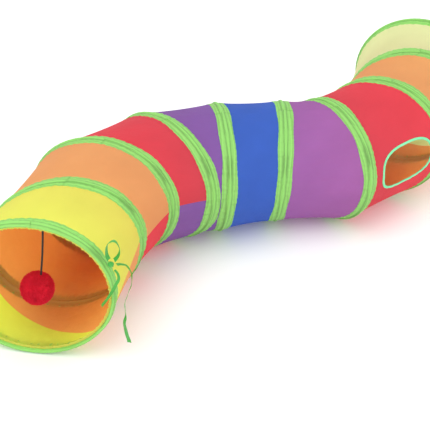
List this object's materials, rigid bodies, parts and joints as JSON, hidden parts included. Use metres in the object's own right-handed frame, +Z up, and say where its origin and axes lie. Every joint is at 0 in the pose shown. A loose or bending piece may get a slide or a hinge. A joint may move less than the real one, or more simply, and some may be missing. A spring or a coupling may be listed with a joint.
{
  "type": "agility tunnel",
  "caption": "S-shaped collapsible play tunnel for cats: sprung wire hoops in sewn bands, coloured cloth panels, a peek hole in the side and a pom-pom hanging in the front mouth.",
  "frame": {"origin": "on the floor, at the bottom centre of the bounding box of the whole tunnel standing open in its S, free cords left out", "axes": "+Z up from the floor; -Y out of the front mouth, the one with the pom-pom; the tunnel runs from the -X -Y corner to the +X +Y corner"},
  "size_m": [0.877, 0.828, 0.257],
  "materials": {
    "spring_steel": "plain drawn wire",
    "green_band": "woven tape, slight sheen",
    "yellow_cloth": "thin woven cloth, slight sheen",
    "orange_cloth": "thin woven cloth, slight sheen",
    "red_cloth": "thin woven cloth, slight sheen",
    "purple_cloth": "thin woven cloth, slight sheen",
    "blue_cloth": "thin woven cloth, slight sheen",
    "cream_cloth": "thin woven cloth, slight sheen",
    "mint_binding": "folded binding tape",
    "crimson_pile": "fluffy pile",
    "black_elastic": "woven cover over an elastic core",
    "green_ribbon": "smooth ribbon"
  },
  "bodies": {
    "hoop_1": {"hoop_1_wire": "spring_steel", "hoop_1_band": "green_band", "panel_1_yellow": "yellow_cloth", "under_panel_1_orange": "orange_cloth", "front_hem_yellow": "yellow_cloth", "ribbon_knot": "green_ribbon", "ribbon_bow": "green_ribbon", "ribbon_long_tail": "green_ribbon", "ribbon_short_tail": "green_ribbon"},
    "hoop_2": {"hoop_2_wire": "spring_steel", "hoop_2_band": "green_band", "panel_2_orange": "orange_cloth", "under_panel_2_red": "red_cloth"},
    "hoop_3": {"hoop_3_wire": "spring_steel", "hoop_3_band": "green_band", "panel_3_red": "red_cloth", "under_panel_3_purple": "purple_cloth"},
    "hoop_4": {"hoop_4_wire": "spring_steel", "hoop_4_band": "green_band", "panel_4_purple": "purple_cloth"},
    "hoop_5": {"hoop_5_wire": "spring_steel", "hoop_5_band": "green_band"},
    "hoop_6": {"hoop_6_wire": "spring_steel", "hoop_6_band": "green_band", "panel_5_blue": "blue_cloth"},
    "hoop_7": {"hoop_7_wire": "spring_steel", "hoop_7_band": "green_band", "panel_6_purple": "purple_cloth"},
    "hoop_8": {"hoop_8_wire": "spring_steel", "hoop_8_band": "green_band", "panel_7_red": "red_cloth", "under_panel_7_purple": "purple_cloth", "peek_hole_binding": "mint_binding"},
    "hoop_9": {"hoop_9_wire": "spring_steel", "hoop_9_band": "green_band", "panel_8_orange": "orange_cloth", "under_panel_8_red": "red_cloth"},
    "hoop_10": {"hoop_10_wire": "spring_steel", "hoop_10_band": "green_band", "panel_9_cream": "cream_cloth", "under_panel_9_orange": "orange_cloth", "rear_hem_cream": "cream_cloth"},
    "elastic_loop": {"elastic_loop": "black_elastic"},
    "pompom": {"pompom": "crimson_pile", "pompom_elastic": "black_elastic"}
  },
  "joints": [
    {"name": "panel_1_yellow_folds", "type": "hinge", "parent": "hoop_2", "child": "hoop_1", "pos_m": [-0.93749, -0.15625, 0.1285], "axis": [0, 0, 1], "range_deg": [0, 10], "stiffness_Nm_per_rad": 30.6, "deforming": ["hoop_1_band", "panel_1_yellow", "under_panel_1_orange"]},
    {"name": "panel_2_orange_folds", "type": "hinge", "parent": "hoop_3", "child": "hoop_2", "pos_m": [0.16149, -0.33424, 0.1285], "axis": [0, 0, -1], "range_deg": [0, 17], "stiffness_Nm_per_rad": 12, "deforming": ["hoop_2_band", "panel_2_orange", "under_panel_2_red"]},
    {"name": "panel_3_red_folds", "type": "hinge", "parent": "hoop_4", "child": "hoop_3", "pos_m": [-0.02763, -0.26183, 0.1285], "axis": [0, 0, -1], "range_deg": [0, 29], "stiffness_Nm_per_rad": 3.9, "deforming": ["hoop_3_band", "panel_3_red", "under_panel_3_purple"]},
    {"name": "panel_4_purple_folds", "type": "hinge", "parent": "hoop_5", "child": "hoop_4", "pos_m": [-0.03884, -0.13751, 0.1285], "axis": [0, 0, -1], "range_deg": [0, 39], "stiffness_Nm_per_rad": 1.7, "deforming": ["hoop_4_band", "panel_4_purple"]},
    {"name": "panel_5_blue_folds", "type": "hinge", "parent": "hoop_5", "child": "hoop_6", "pos_m": [0.3216, -0.6849, 0.1285], "axis": [0, 0, 1], "range_deg": [0, 8], "stiffness_Nm_per_rad": 45.2, "deforming": ["hoop_6_band", "panel_5_blue", "hoop_5_band"]},
    {"name": "panel_6_purple_folds", "type": "hinge", "parent": "hoop_6", "child": "hoop_7", "pos_m": [0.0692, 0.20439, 0.1285], "axis": [0, 0, -1], "range_deg": [0, 34], "stiffness_Nm_per_rad": 2, "deforming": ["hoop_7_band", "panel_6_purple"]},
    {"name": "panel_7_red_folds", "type": "hinge", "parent": "hoop_7", "child": "hoop_8", "pos_m": [0.03447, 0.28609, 0.1285], "axis": [0, 0, -1], "range_deg": [0, 30], "stiffness_Nm_per_rad": 3.6, "deforming": ["hoop_8_band", "panel_7_red", "under_panel_7_purple", "peek_hole_binding"]},
    {"name": "panel_8_orange_folds", "type": "hinge", "parent": "hoop_8", "child": "hoop_9", "pos_m": [-0.07731, 0.39373, 0.1285], "axis": [0, 0, -1], "range_deg": [0, 17], "stiffness_Nm_per_rad": 10.5, "deforming": ["hoop_9_band", "panel_8_orange", "under_panel_8_red"]},
    {"name": "panel_9_cream_folds", "type": "hinge", "parent": "hoop_9", "child": "hoop_10", "pos_m": [0.80364, 0.21117, 0.1285], "axis": [0, 0, 1], "range_deg": [0, 12], "stiffness_Nm_per_rad": 19.8, "deforming": ["hoop_10_band", "panel_9_cream", "under_panel_9_orange"]},
    {"name": "pompom_swings_in_and_out", "type": "hinge", "parent": "hoop_1", "child": "elastic_loop", "pos_m": [-0.29351, -0.38711, 0.24887], "axis": [1, 0, 0], "range_deg": [-30, 30]},
    {"name": "pompom_swings_sideways", "type": "hinge", "parent": "elastic_loop", "child": "pompom", "pos_m": [-0.29351, -0.38711, 0.24887], "axis": [0, 1, 0], "range_deg": [-35, 35]}
  ]
}
